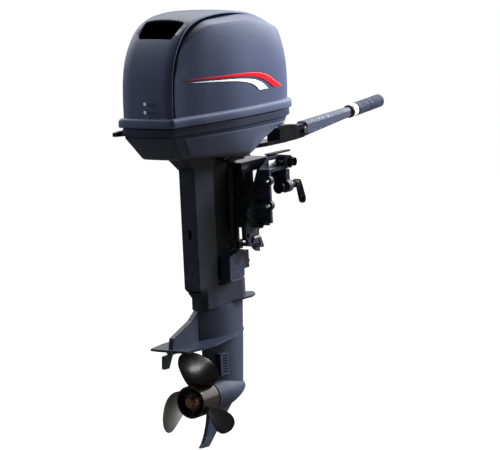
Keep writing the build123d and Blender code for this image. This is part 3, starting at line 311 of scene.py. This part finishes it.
# width of the rounded edges given to the CAD nodes, in metres
SOFT_EDGE = {
    "clamp_bracket_starboard": 0.0016, "clamp_bracket_port": 0.0016, "swivel_bracket": 0.0016,
    "steering_bracket": 0.002, "upper_casing": 0.0025, "gearcase": 0.0015, "lower_mount_covers": 0.004,
    "tiller_arm": 0.0012, "clamp_screw_starboard": 0.0015, "clamp_screw_port": 0.0015,
    "trim_tab": 0.0012, "tilt_tube_nuts": 0.0008, "clamp_pad_starboard": 0.001, "clamp_pad_port": 0.001,
    "starter_handle": 0.0015, "shift_lever": 0.001, "cowl_latch": 0.0012, "friction_lever": 0.0008,
}
for entry in frame["record"]["subparts"]:
    name = entry["node"]
    shown = NODES[name]
    finish = NODE_MATERIAL.get(name, SLOT_MATERIAL[entry["material_slot"]])
    for index in range(len(shown.material_slots)):
        shown.material_slots[index].material = finish
    if name in SOFT_EDGE:
        soft = shown.modifiers.new("soft_edges", "BEVEL")
        soft.width = SOFT_EDGE[name]
        soft.segments = 2
        soft.limit_method = "ANGLE"
        soft.angle_limit = math.radians(35.0)

# ---------------------------------------------------------------- camera
AZIMUTH = math.radians(-57.0)
ELEVATION = math.radians(8.4)
ROLL = math.radians(2.7)
DISTANCE = 7.6
FOCAL = 3000.0
ANCHOR = mm(-287.0, 0.0, -574.0)
ANCHOR_U, ANCHOR_V = 188.1, 403.5

back = Vector((math.sin(AZIMUTH) * math.cos(ELEVATION), -math.cos(AZIMUTH) * math.cos(ELEVATION),
               math.sin(ELEVATION)))
right = Vector((math.cos(AZIMUTH), math.sin(AZIMUTH), 0.0))
up = back.cross(right)
cam_right = right * math.cos(ROLL) - up * math.sin(ROLL)
cam_up = right * math.sin(ROLL) + up * math.cos(ROLL)
sight = (ANCHOR_U - 250.0) / FOCAL * cam_right - (ANCHOR_V - 225.0) / FOCAL * cam_up - back

camera_data = bpy.data.cameras.new("camera")
camera_data.lens = FOCAL * 36.0 / 500.0
camera_data.sensor_width = 36.0
camera_data.clip_end = 60.0
camera = bpy.data.objects.new("camera", camera_data)
bpy.context.scene.collection.objects.link(camera)
turn = Matrix((cam_right, cam_up, back)).transposed().to_4x4()
camera.matrix_world = Matrix.Translation(ANCHOR - sight * DISTANCE) @ turn
bpy.context.scene.camera = camera


# ---------------------------------------------------------------- mesh helpers
def between(points, t):
    """A smooth curve through a list of equal-length tuples, t from 0 to 1 (Catmull-Rom)."""
    last = len(points) - 1
    at = min(max(t, 0.0), 1.0) * last
    i = min(int(at), last - 1)
    f = at - i
    p1, p2 = points[i], points[i + 1]
    p0 = points[i - 1] if i > 0 else tuple(2 * a - b for a, b in zip(p1, p2))
    p3 = points[i + 2] if i + 2 <= last else tuple(2 * b - a for a, b in zip(p1, p2))
    return tuple(
        0.5 * (2 * b + (c - a) * f + (2 * a - 5 * b + 4 * c - d) * f * f + (3 * b - a - 3 * c + d) * f ** 3)
        for a, b, c, d in zip(p0, p1, p2, p3))


def add_skin(bm, rows, around=True, material=0):
    """Add a sheet of quads through rows of points; around closes each row."""
    made = [[bm.verts.new(p) for p in row] for row in rows]
    count = len(rows[0])
    for lower, upper in zip(made, made[1:]):
        for i in range(count if around else count - 1):
            j = (i + 1) % count
            face = bm.faces.new((lower[i], lower[j], upper[j], upper[i]))
            face.material_index = material
    return made


def cap(bm, row):
    """Close a row of vertices with one face."""
    return bm.faces.new(row)


def finish_piece(name, bm, materials, body, replaced=(), smooth_angle=32.0, tidy=True):
    """Turn a bmesh into a piece on its body."""
    if tidy:
        bmesh.ops.remove_doubles(bm, verts=bm.verts, dist=0.00001)
        bmesh.ops.recalc_face_normals(bm, faces=bm.faces)
    mesh = bpy.data.meshes.new(name)
    bm.to_mesh(mesh)
    bm.free()
    for material in materials:
        mesh.materials.append(material)
    mesh.shade_smooth()
    mesh.set_sharp_from_angle(angle=math.radians(smooth_angle))
    piece = bpy.data.objects.new(name, mesh)
    bpy.context.scene.collection.objects.link(piece)
    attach(piece, body)
    if replaced:
        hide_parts(*replaced)
    return piece


# ---------------------------------------------------------------- cowl outline
def cowl_ring(rear, front, rear_half, widest, count=60, corner=5.0):
    """A level outline of the cowl in X and Y: rear centre, port side, front, starboard side."""
    span = front - rear
    spread = widest - rear_half
    half = [
        (rear + corner, rear_half), (rear + 0.08 * span, rear_half + 0.16 * spread),
        (rear + 0.24 * span, rear_half + 0.55 * spread), (rear + 0.45 * span, rear_half + 0.90 * spread),
        (rear + 0.68 * span, widest), (rear + 0.87 * span, widest * 0.975),
        (rear + 0.955 * span, widest * 0.85), (rear + 0.99 * span, widest * 0.52), (front, 0.0),
    ]
    side = [between(half, i / count) for i in range(count + 1)]
    rear_face = [(rear - 3.0 * (1 - (k / 6) ** 2), rear_half * k / 6 * 0.93) for k in range(7)]
    port = rear_face + [(rear + 0.3 * corner, rear_half - 0.3 * corner)] + side
    return port + [(x, -y) for x, y in reversed(port[1:-1])]


# rear, front, rear half width, widest half width, at each drawn height of the flank
FLANK = [
    (163.0, -395.0, 111.0, 73.0, 118.0), (189.0, -395.0, 110.5, 73.5, 120.5),
    (215.0, -393.5, 109.5, 74.0, 121.5), (240.0, -391.5, 108.5, 74.0, 121.5),
    (265.0, -389.5, 107.0, 74.0, 121.0), (290.0, -387.0, 105.5, 74.0, 119.5),
    (315.0, -383.0, 104.0, 74.0, 117.5), (340.0, -378.0, 102.0, 74.0, 114.5),
    (360.0, -373.0, 100.0, 73.5, 111.0), (375.0, -368.0, 98.0, 73.0, 107.0),
    (384.0, -363.0, 96.0, 72.5, 103.0),
]
# the shoulder above the crease, drawn in towards the spine
SHOULDER = [
    (384.0, -363.0, 96.0, 72.5, 103.0), (386.5, -358.0, 91.5, 71.5, 98.0), (391.0, -346.0, 80.0, 69.0, 88.0),
    (397.0, -327.0, 62.0, 63.0, 75.0), (402.0, -296.0, 30.0, 50.0, 58.0),
]


def smooth_step(value, low, high):
    """0 below low, 1 above high, and an even curve between."""
    t = min(max((value - low) / (high - low), 0.0), 1.0)
    return t * t * (3 - 2 * t)


def shoulder_drop(x, z):
    """How far the shoulder falls towards the rear and the front of the cowl."""
    rear = 64.0 * (max(-225.0 - x, 0.0) / 140.0) ** 1.9
    front = 47.0 * (max(x + 119.0, 0.0) / 199.0) ** 2.2
    return (rear + front) * smooth_step(z, 235.0, 384.0)


def flank_row(level, inset=0.0):
    """One outline of the flank, bent down by the shoulder's drop."""
    z, rear, front, rear_half, widest = level
    ring = cowl_ring(rear + inset, front - inset, rear_half - inset, widest - inset)
    return [mm(x, y, z - shoulder_drop(x, z)) for x, y in ring]


def flank_rows(inset):
    """All outlines of the flank and the shoulder, from the rim up."""
    steps = 36
    rows = [flank_row(between(FLANK, i / steps), inset) for i in range(steps + 1)]
    top = 14
    rows += [flank_row(between(SHOULDER, i / top), inset) for i in range(1, top + 1)]
    return rows


# side view of the raised centre band
SPINE = [
    (-403.5, 163.0), (-403.5, 190.0), (-402.5, 220.0), (-400.0, 252.0), (-394.5, 283.0), (-386.5, 307.0),
    (-374.0, 331.0), (-356.5, 355.0), (-334.0, 376.5), (-306.0, 393.0), (-268.0, 404.5), (-220.0, 410.5),
    (-160.0, 412.0), (-95.0, 408.0), (-30.0, 397.0), (30.0, 378.0), (68.0, 357.0), (91.0, 331.0),
    (102.0, 299.0), (104.5, 270.0),
]
# distance from the centre line and depth below the crown, across the band
BAND_SECTION = [
    (0.0, 0.0), (22.0, 0.1), (42.0, 0.4), (58.0, 0.9), (66.0, 1.4), (70.0, 2.1), (72.3, 3.3), (73.6, 5.2),
    (74.0, 8.0), (74.0, 19.0),
]


def spine_at(t):
    """Place and outward direction of the band's side view."""
    x, z = between(SPINE, t)
    x_next, z_next = between(SPINE, min(t + 0.002, 1.0))
    x_last, z_last = between(SPINE, max(t - 0.002, 0.0))
    along = Vector((x_next - x_last, z_next - z_last)).normalized()
    return Vector((x, z)), Vector((-along.y, along.x))


def band_row(t, brow=None):
    """One row across the band from starboard to port."""
    place, out = spine_at(t)
    half = [(y, -depth) for y, depth in BAND_SECTION]
    row = []
    for y, depth in [(-y, d) for y, d in reversed(half)] + half[1:]:
        lift = depth
        if brow:
            lift += brow(t, y)
        spot = place + out * lift
        row.append(mm(spot.x, y, spot.y))
    return row


# ---------------------------------------------------------------- top cowl
INTAKE_START, INTAKE_END = 7.12 / 19.0, 9.10 / 19.0
INTAKE_HALF_LOW, INTAKE_HALF_HIGH = 52.0, 61.0
# the lip of the air intake, in metres: how far each ring is drawn in and sunk
LIP = [(0.0012, 0.0008), (0.0022, 0.003), (0.0028, 0.006), (0.003, 0.034)]
# the cowl's rim: rear, front, rear half width, widest half width; then height and inset round its section
RIM_OUTLINE = (-402.0, 110.0, 73.0, 117.0)
RIM_SECTION = [
    (167.0, 6.0), (166.8, 0.2), (165.6, -3.4), (163.9, -7.2), (161.4, -9.2), (158.0, -10.0), (147.0, -10.4),
    (144.0, -10.0), (142.2, -8.2), (141.6, -4.0), (141.6, 3.0), (150.0, 3.4), (166.0, 6.0),
]


def brow_lift(t, y):
    """The raised arched lip over the front edge of the air intake."""
    behind = smooth_step(t, INTAKE_END - 0.012, INTAKE_END + 0.002)
    ahead = 1.0 - smooth_step(t, INTAKE_END + 0.004, INTAKE_END + 0.13)
    across = max(0.0, 1.0 - (abs(y) / 66.0) ** 2.6)
    return 9.0 * behind * ahead * across


def intake_half(t):
    """Half the width of the air intake at a place along the band."""
    f = (t - INTAKE_START) / (INTAKE_END - INTAKE_START)
    f = min(max(f, 0.0), 1.0)
    bulge = 1.0 - (2.0 * f - 1.0) ** 6 * 0.08
    return (INTAKE_HALF_LOW + (INTAKE_HALF_HIGH - INTAKE_HALF_LOW) * f) * bulge


def band_rows():
    """Rows along the band, closer together at the air intake."""
    stops = [i / 44 * INTAKE_START for i in range(45)]
    stops += [INTAKE_START + (INTAKE_END - INTAKE_START) * i / 14 for i in range(1, 15)]
    stops += [INTAKE_END + (1.0 - INTAKE_END) * (i / 60) ** 1.15 for i in range(1, 61)]
    return stops


def under_intake(face):
    """Whether a face of the flank lies under the air intake, where it is cut away."""
    centre = face.calc_center_median()
    return abs(centre.y) < 0.0645 and centre.x < -0.285 and centre.z > 0.315


def build_top_cowl():
    """The cowl's flanks, its raised band with the intake and lip, and the rim, in one mesh."""
    bm = bmesh.new()
    add_skin(bm, flank_rows(0.0))
    bmesh.ops.delete(bm, geom=[f for f in bm.faces if under_intake(f)], context="FACES")
    # the band, with the air intake left open
    stops = band_rows()
    section = len(BAND_SECTION)
    columns = 2 * section - 1
    rows = []
    for t in stops:
        row = band_row(t, brow_lift)
        # the middle columns follow the slanted sides of the intake
        place, out = spine_at(t)
        opening = intake_half(t)
        for k in range(-4, 5):
            y = opening * k / 4.0
            depth = -1.5 * (abs(y) / 62.0) ** 2
            spot = place + out * (depth + brow_lift(t, y))
            row[section - 1 + k] = mm(spot.x, y, spot.y)
        rows.append([bm.verts.new(p) for p in row])
    first = stops.index(INTAKE_START)
    last = first + 14
    for i in range(len(stops) - 1):
        for k in range(columns - 1):
            inside = first <= i < last and section - 5 <= k < section + 3
            if not inside:
                strip = bm.faces.new((rows[i][k], rows[i][k + 1], rows[i + 1][k + 1], rows[i + 1][k]))
                # the band's side walls are shine-free black: a shadow painted in the groove along the band's
                # edges
                strip.material_index = 1 if k < 1 or k > columns - 3 else 0
    # the lip turns down into the engine space
    loop = [rows[i][section - 5] for i in range(first, last + 1)]
    loop += [rows[last][k] for k in range(section - 4, section + 4)]
    loop += [rows[i][section + 3] for i in range(last - 1, first - 1, -1)]
    loop += [rows[first][k] for k in range(section + 2, section - 5, -1)]
    middle = sum((v.co for v in loop), Vector()) / len(loop)
    inward = Vector((0.62, 0.0, -0.78))
    ring = loop
    for depth_index, (draw_in, sink) in enumerate(LIP):
        fresh = []
        for v in loop:
            aside = (middle - v.co)
            aside -= inward * aside.dot(inward)
            fresh.append(bm.verts.new(v.co + aside.normalized() * draw_in + inward * sink))
        for a in range(len(loop)):
            b = (a + 1) % len(loop)
            lip = bm.faces.new((ring[a], ring[b], fresh[b], fresh[a]))
            # the deeper rings of the lip are shine-free black: painted shade inside the intake
            lip.material_index = 1 if depth_index > 1 else 0
        ring = fresh
    # a shine-free black cap closes the lip: a sheet of painted shade deep in the intake
    cap(bm, ring).material_index = 1
    # rim band round the lower edge
    rear, front, rear_half, widest = RIM_OUTLINE
    rim_rows = []
    for z, inset in RIM_SECTION:
        ring_points = cowl_ring(rear + inset, front - inset, rear_half - inset, widest - inset)
        rim_rows.append([mm(x, y, z) for x, y in ring_points])
    add_skin(bm, rim_rows)
    return bm


cowl_bm = build_top_cowl()
cowl_bm.normal_update()
cowl_tree = BVHTree.FromBMesh(cowl_bm)
finish_piece("cowl_shell", cowl_bm, [NAVY, BLACK_PLASTIC_AND_SHADE], "hood", ["top_cowl"], 38.0)

# ---------------------------------------------------------------- side stripes
RED_UPPER = [(-352, 256), (-250, 255), (-150, 253), (-80, 248), (-34, 237), (2, 219), (34, 203)]
RED_LOWER = [(-352, 255), (-250, 250), (-150, 245), (-92, 238), (-58, 229), (-30, 216), (-8, 203)]
WHITE_UPPER = [(-334, 249), (-250, 245.5), (-160, 240), (-104, 233), (-74, 225), (-50, 214), (-34, 203)]
WHITE_LOWER = [(-334, 248), (-250, 242), (-168, 235), (-124, 227), (-100, 219), (-86, 211), (-76, 203)]


# ---------------------------------------------------------------- bottom cowl
# the tray's lower edge from the side, and the height above which the tray keeps its level outlines
BELLY = [
    (-330, 54), (-262, 50), (-190, 44), (-120, 35), (-84, 33), (-52, 46), (-18, 64), (30, 84), (96, 104),
]
BELLY_TOP = 108.0
BELLY_FLOOR = 54.0


def belly(x):
    """Height of the tray's lower edge along its length."""
    if x <= BELLY[0][0]:
        return BELLY[0][1]
    for (x0, z0), (x1, z1) in zip(BELLY, BELLY[1:]):
        if x <= x1:
            return z0 + (z1 - z0) * (x - x0) / (x1 - x0)
    return BELLY[-1][1]


# rear, front, rear half width, widest half width, at each drawn height of the tray
TRAY = [
    (141.2, -396.0, 106.0, 70.0, 112.0), (141.0, -402.0, 112.0, 75.0, 118.0),
    (139.6, -405.5, 114.5, 77.4, 120.6), (136.0, -406.8, 115.4, 77.8, 121.2),
    (124.0, -407.6, 115.6, 76.6, 121.2), (122.0, -407.2, 110.0, 76.2, 120.8),
    (120.9, -405.8, 106.0, 74.8, 119.4), (120.2, -403.4, 103.6, 72.6, 117.0),
    (118.4, -403.2, 103.0, 72.4, 116.8), (117.4, -404.4, 102.8, 73.4, 118.4),
    (116.0, -403.8, 102.0, 73.4, 118.2), (106.0, -394.6, 97.0, 71.0, 114.6),
    (104.0, -392.8, 96.0, 70.4, 113.4), (92.0, -381.6, 90.0, 67.8, 108.6), (80.0, -370.6, 86.0, 65.4, 102.8),
    (68.0, -359.6, 82.0, 62.8, 95.6), (60.0, -352.2, 78.0, 61.0, 90.0), (57.6, -349.6, 76.0, 60.2, 88.0),
    (55.2, -344.6, 72.0, 57.6, 84.0), (54.2, -338.0, 66.0, 54.0, 78.0), (54.0, -318.0, 30.0, 48.0, 62.0),
    (54.0, -300.0, -60.0, 44.0, 50.0),
]


def tray_row(z, ring):
    """One level outline of the tray, its lower part following the belly line."""
    row = []
    for x, y in cowl_ring(*ring, corner=8.0):
        low = z
        if z < BELLY_TOP:
            low = BELLY_TOP - (BELLY_TOP - z) / (BELLY_TOP - BELLY_FLOOR) * (BELLY_TOP - belly(x))
        row.append(mm(x, y, low))
    return row


def build_tray():
    """The tray, with rows every 4 mm so that its lower edge can follow the belly line."""
    bm = bmesh.new()
    rows = []
    for (z0, *low_ring), (z1, *high_ring) in zip(TRAY, TRAY[1:]):
        parts = max(1, round(abs(z1 - z0) / 4.0))
        for k in range(parts):
            f = k / parts
            z = z0 + (z1 - z0) * f
            rows.append(tray_row(z, [a + (b - a) * f for a, b in zip(low_ring, high_ring)]))
    rows.append(tray_row(TRAY[-1][0], TRAY[-1][1:]))
    add_skin(bm, rows)
    return bm


tray_bm = build_tray()
tray_bm.normal_update()
tray_tree = BVHTree.FromBMesh(tray_bm)
finish_piece("tray_shell", tray_bm, [NAVY_TRAY], "motor", ["bottom_cowl"], 24.0)


def cast_panel(name, tree, upper, lower, side, rise, thickness, material, body, steps=48, ribs=8):
    """A thin panel laid on a shell's side between two curves."""
    bm = bmesh.new()
    rows = []
    for i in range(steps + 1):
        x_top, z_top = between(upper, i / steps)
        x_low, z_low = between(lower, i / steps)
        row = []
        for k in range(ribs + 1):
            f = k / ribs
            start = mm(x_top + (x_low - x_top) * f, side * 200.0, z_top + (z_low - z_top) * f)
            spot, normal, _, _ = tree.ray_cast(start, Vector((0.0, -side, 0.0)))
            if normal.y * side < 0:
                normal = -normal
            row.append(spot + normal * rise / 1000.0)
        rows.append(row)
    add_skin(bm, rows, around=False)
    bmesh.ops.recalc_face_normals(bm, faces=bm.faces)
    bm.faces.ensure_lookup_table()
    if bm.faces[0].normal.y * side < 0:
        bmesh.ops.reverse_faces(bm, faces=bm.faces)
    piece = finish_piece(name, bm, [material], body, tidy=False)
    thick = piece.modifiers.new("thickness", "SOLIDIFY")
    thick.thickness = thickness / 1000.0
    thick.offset = -1.0
    if thickness > 1.0:
        edge = piece.modifiers.new("edge", "BEVEL")
        edge.width = 0.0008
        edge.segments = 2
        edge.limit_method = "ANGLE"
        edge.angle_limit = math.radians(50.0)
    return piece


PANEL_UPPER = [(-362, 112), (-300, 112), (-200, 111), (-100, 110), (-40, 110), (30, 109), (72, 110)]
PANEL_LOWER = [(-322, 66), (-258, 59), (-190, 55), (-110, 48), (-84, 47), (-30, 72), (40, 103)]
for side, label in ((-1, "starboard"), (1, "port")):
    cast_panel("tray_panel_" + label, tray_tree, PANEL_UPPER, PANEL_LOWER, side, 2.0, 4.0, NAVY,
               "motor")
    cast_panel("stripe_red_" + label, cowl_tree, RED_UPPER, RED_LOWER, side, 0.7, 0.4, RED_FILM,
               "hood")
    cast_panel("stripe_white_" + label, cowl_tree, WHITE_UPPER, WHITE_LOWER, side, 0.7, 0.4, WHITE_FILM,
               "hood")


# ---------------------------------------------------------------- blank plate on the starboard bracket
def rounded_plate(name, centre, size, thickness, corner, material, body):
    """A flat plate with rounded corners, lying in X and Z and facing starboard."""
    bm = bmesh.new()
    outline = []
    for quarter in range(4):
        for step in range(5):
            angle = math.radians(90 * quarter + 22.5 * step)
            sign_x = 1 if quarter in (0, 3) else -1
            sign_z = 1 if quarter in (0, 1) else -1
            outline.append((sign_x * (size[0] / 2 - corner) + corner * math.cos(angle),
                            sign_z * (size[1] / 2 - corner) + corner * math.sin(angle)))
    rows = []
    for out, inset in ((0.0, 0.0), (thickness * 0.7, 0.0), (thickness, thickness * 0.4)):
        row = []
        for x, z in outline:
            scale = 1 - inset / (min(size) / 2)
            row.append(mm(centre[0] + x * scale, centre[1] - out, centre[2] + z * scale))
        rows.append(row)
    made = add_skin(bm, rows)
    cap(bm, made[0])
    cap(bm, made[-1])
    return finish_piece(name, bm, [material], body)


rounded_plate("blank_plate", (56.0, -66.4, -3.0), (34.0, 15.0), 0.8, 2.0, WHITE_FILM, "mount")

# ---------------------------------------------------------------- floor and light
# The floor lies 250 mm below the skeg; the camera sees it plain white, and it throws little light back.
FLOOR_Z = cad_box[0][2] - 0.25
bpy.ops.mesh.primitive_plane_add(size=60, location=(0, 0, FLOOR_Z))
floor = bpy.context.object
floor.name = "floor"
white = Graph("floor_white")
white.link(white.ramp(white.noise(0.6, 2.0), 0.3, 0.7, (0.020, 0.020, 0.020), (0.024, 0.024, 0.024)),
           white.bsdf.inputs["Base Color"])
white.bsdf.inputs["Roughness"].default_value = 0.9
white.bsdf.inputs["Specular IOR Level"].default_value = 0.0
white.bsdf.inputs["Emission Color"].default_value = (1.0, 1.0, 1.0, 1.0)
white.link(white.node("ShaderNodeLightPath").outputs["Is Camera Ray"], white.bsdf.inputs["Emission Strength"])
floor.data.materials.append(white.mat)

# The studio: white above and behind the object, weaker straight behind it, and dark in front and low
# down. The camera sees plain white.
world = bpy.data.worlds.new("world")
bpy.context.scene.world = world
world.use_nodes = True
sky = world.node_tree


def sky_node(kind, **values):
    made = sky.nodes.new(kind)
    for key, value in values.items():
        setattr(made, key, value)
    return made


def panel(direction, low, high, dark, bright):
    """Brightness of the studio along one direction."""
    dot = sky_node("ShaderNodeVectorMath", operation="DOT_PRODUCT")
    sky.links.new(sky_node("ShaderNodeTexCoord").outputs["Generated"], dot.inputs[0])
    dot.inputs[1].default_value = direction
    ramp = sky_node("ShaderNodeMapRange", interpolation_type="SMOOTHSTEP")
    ramp.inputs["From Min"].default_value = low
    ramp.inputs["From Max"].default_value = high
    ramp.inputs["To Min"].default_value = dark
    ramp.inputs["To Max"].default_value = bright
    sky.links.new(dot.outputs["Value"], ramp.inputs["Value"])
    return ramp.outputs["Result"]


def sky_maths(operation, a, b):
    made = sky_node("ShaderNodeMath", operation=operation)
    sky.links.new(a, made.inputs[0])
    sky.links.new(b, made.inputs[1])
    return made.outputs[0]


AWAY = (0.839, 0.545, 0.0)
behind = panel(AWAY, -0.12, 0.68, 0.04, 3.0)
height = panel((0.0, 0.0, 1.0), -0.06, 0.24, 0.035, 1.0)
middle = panel(AWAY, 0.60, 0.97, 1.0, 0.30)
level = sky_maths("MULTIPLY", sky_maths("MULTIPLY", behind, middle), height)
seen = sky_node("ShaderNodeLightPath").outputs["Is Camera Ray"]
sky.links.new(sky_maths("MAXIMUM", level, seen), sky.nodes["Background"].inputs["Strength"])
sky.nodes["Background"].inputs["Color"].default_value = (1.0, 1.0, 1.0, 1.0)


def area_light(name, position, target, size, power):
    """A soft rectangular lamp aimed at a point."""
    data = bpy.data.lights.new(name, "AREA")
    data.shape = "RECTANGLE"
    data.size, data.size_y = size
    data.energy = power
    lamp = bpy.data.objects.new(name, data)
    bpy.context.scene.collection.objects.link(lamp)
    lamp.location = position
    lamp.rotation_euler = (Vector(target) - Vector(position)).to_track_quat("-Z", "Y").to_euler()
    return lamp


area_light("fill", (-3.4, -3.0, 1.4), (-0.2, 0.0, -0.2), (2.4, 2.4), 22).visible_glossy = False
area_light("bow_side", (4.5, -1.35, 1.5), (-0.1, 0.0, 0.1), (1.2, 1.8), 2700).visible_glossy = False
area_light("port_side", (-1.0, 3.6, 1.1), (-0.3, 0.0, 0.1), (1.2, 2.4), 330).visible_glossy = False
area_light("glint", (-1.68, -0.63, -0.79), (-0.33, 0.0, -0.57), (0.16, 0.5), 4.0)
bpy.context.scene.view_settings.view_transform = "Standard"
bpy.context.scene.view_settings.look = "None"
